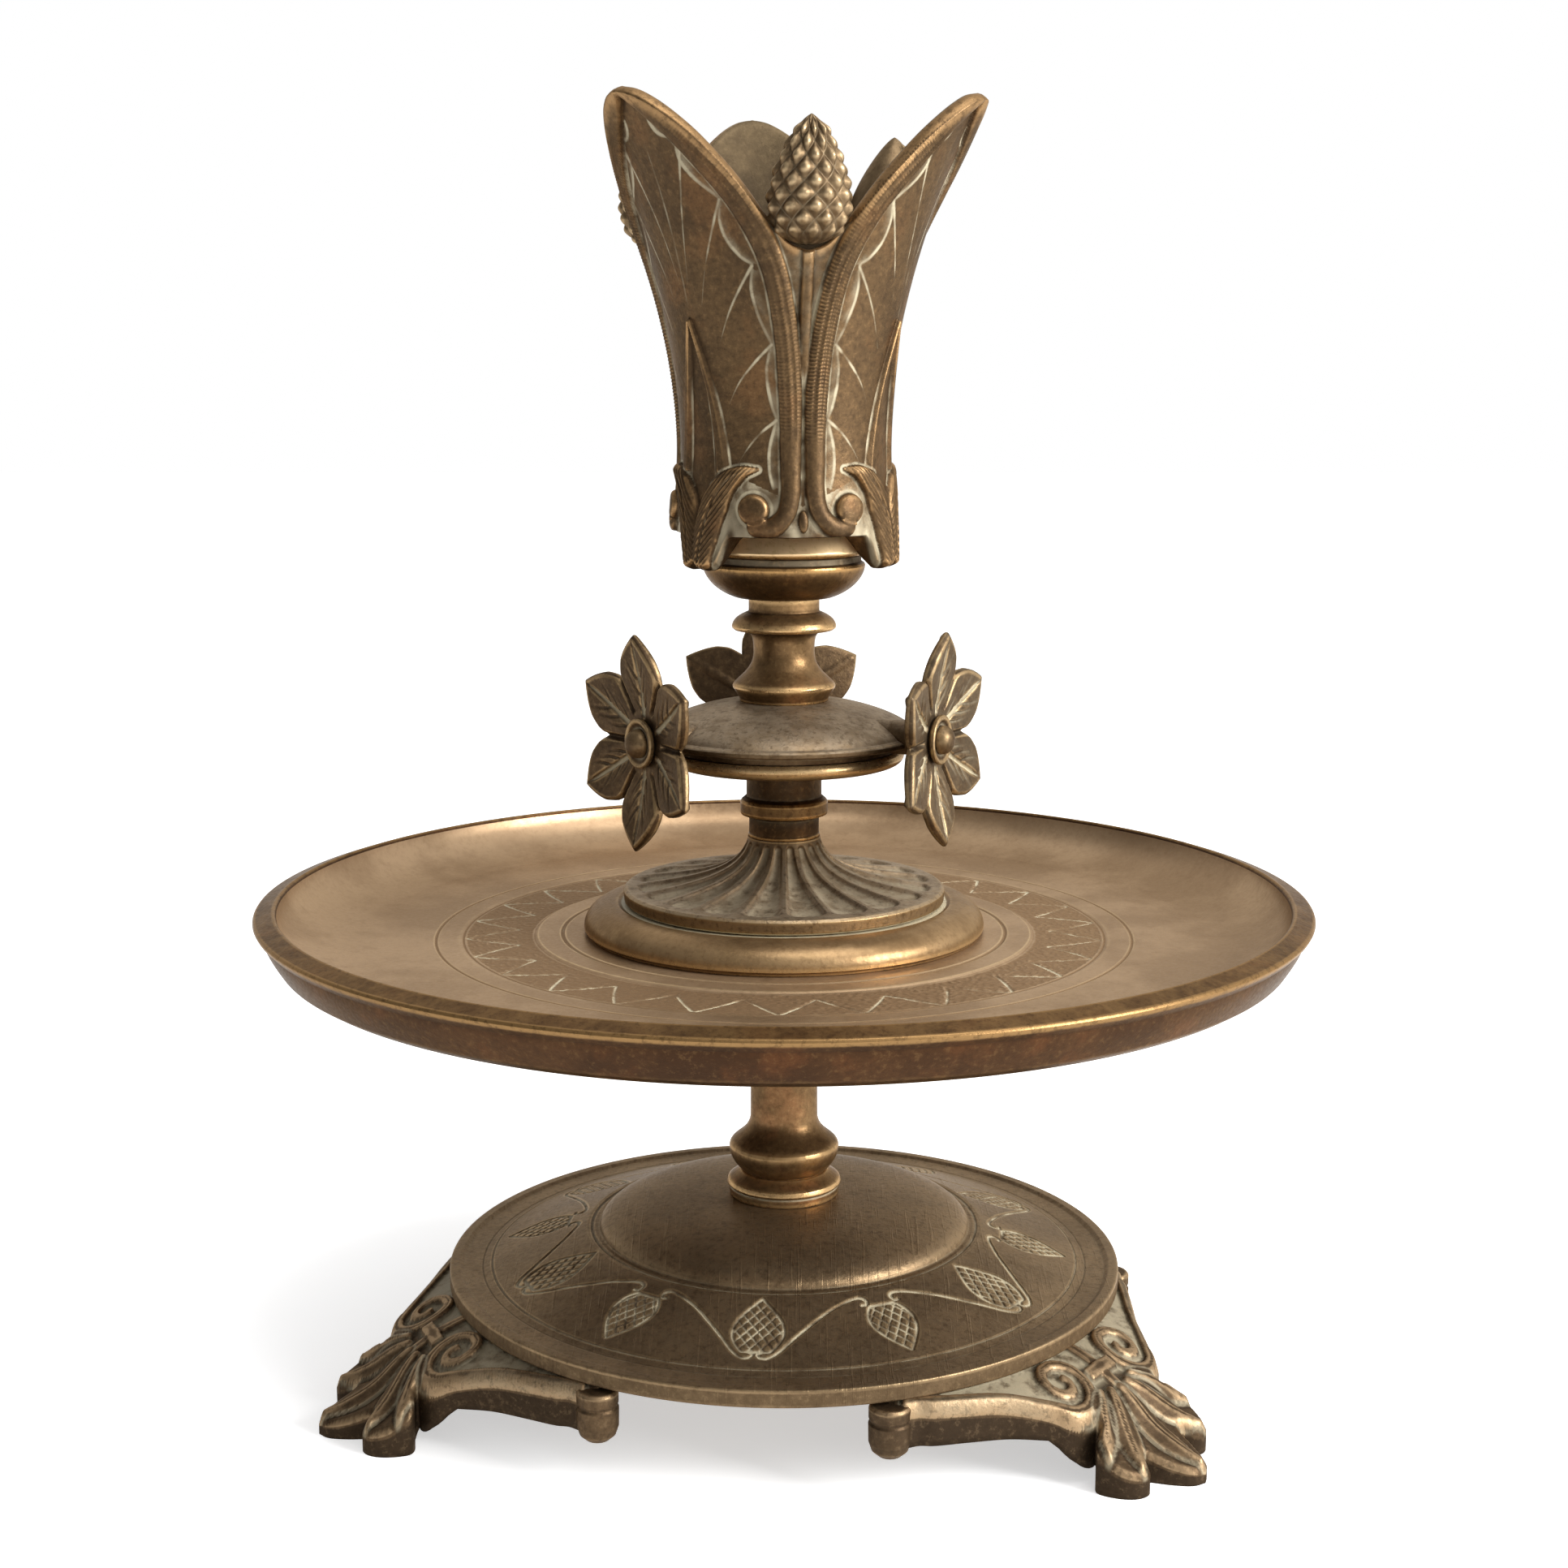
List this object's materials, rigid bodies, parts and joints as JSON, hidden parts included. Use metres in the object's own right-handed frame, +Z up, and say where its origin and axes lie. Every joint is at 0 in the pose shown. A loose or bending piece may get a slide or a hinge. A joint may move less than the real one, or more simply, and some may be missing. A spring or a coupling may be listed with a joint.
{
  "type": "candlestick",
  "caption": "Cast candlestick: scroll feet, engraved base, round drip tray, turned stem with screwed-on flowers, and a leaf-shaped cup with pine cones for the candle.",
  "frame": {"origin": "centre of the object's box on the ground, which is the axis of the turned stem", "axes": "+Z up along the stem, -Y towards the viewer of the picture, +X to the viewer's right"},
  "size_m": [0.156, 0.156, 0.1886],
  "materials": {
    "bronze_base": "brown patina, engraved lines filled with pale residue",
    "bronze_foot": "brown patina with pale verdigris in the relief",
    "bronze_tray": "satin golden inside, reddish brown wall",
    "bronze_leaf": "brown patina with coppery ribs",
    "bronze_flower": "brown patina with pale residue in the grooves",
    "bronze_dusty": "greyish worn patina",
    "brass_turned": "polished, golden brown",
    "iron_fitting": "dull dark iron"
  },
  "bodies": {
    "root": {"tie_rod": "iron_fitting", "base_washer": "iron_fitting", "base_nut": "iron_fitting", "cup_nut": "brass_turned", "base_disc": "bronze_base", "base_ring": "brass_turned", "lower_baluster": "brass_turned", "tray": "bronze_tray", "boss_ring": "brass_turned", "fluted_foot": "bronze_dusty", "stem_collar": "brass_turned", "knop_ring": "brass_turned", "knop_disc": "bronze_dusty", "upper_spool": "brass_turned", "cup_bowl": "bronze_base", "leaf_cup": "bronze_leaf", "foot_1": "bronze_foot", "foot_2": "bronze_foot", "foot_3": "bronze_foot", "foot_screw_1": "iron_fitting", "foot_screw_2": "iron_fitting", "foot_screw_3": "iron_fitting", "flower_1": "bronze_flower", "flower_2": "bronze_flower", "flower_3": "bronze_flower", "flower_collar_1": "bronze_flower", "flower_collar_2": "bronze_flower", "flower_collar_3": "bronze_flower", "flower_screw_1": "brass_turned", "flower_screw_2": "brass_turned", "flower_screw_3": "brass_turned"}
  },
  "joints": []
}
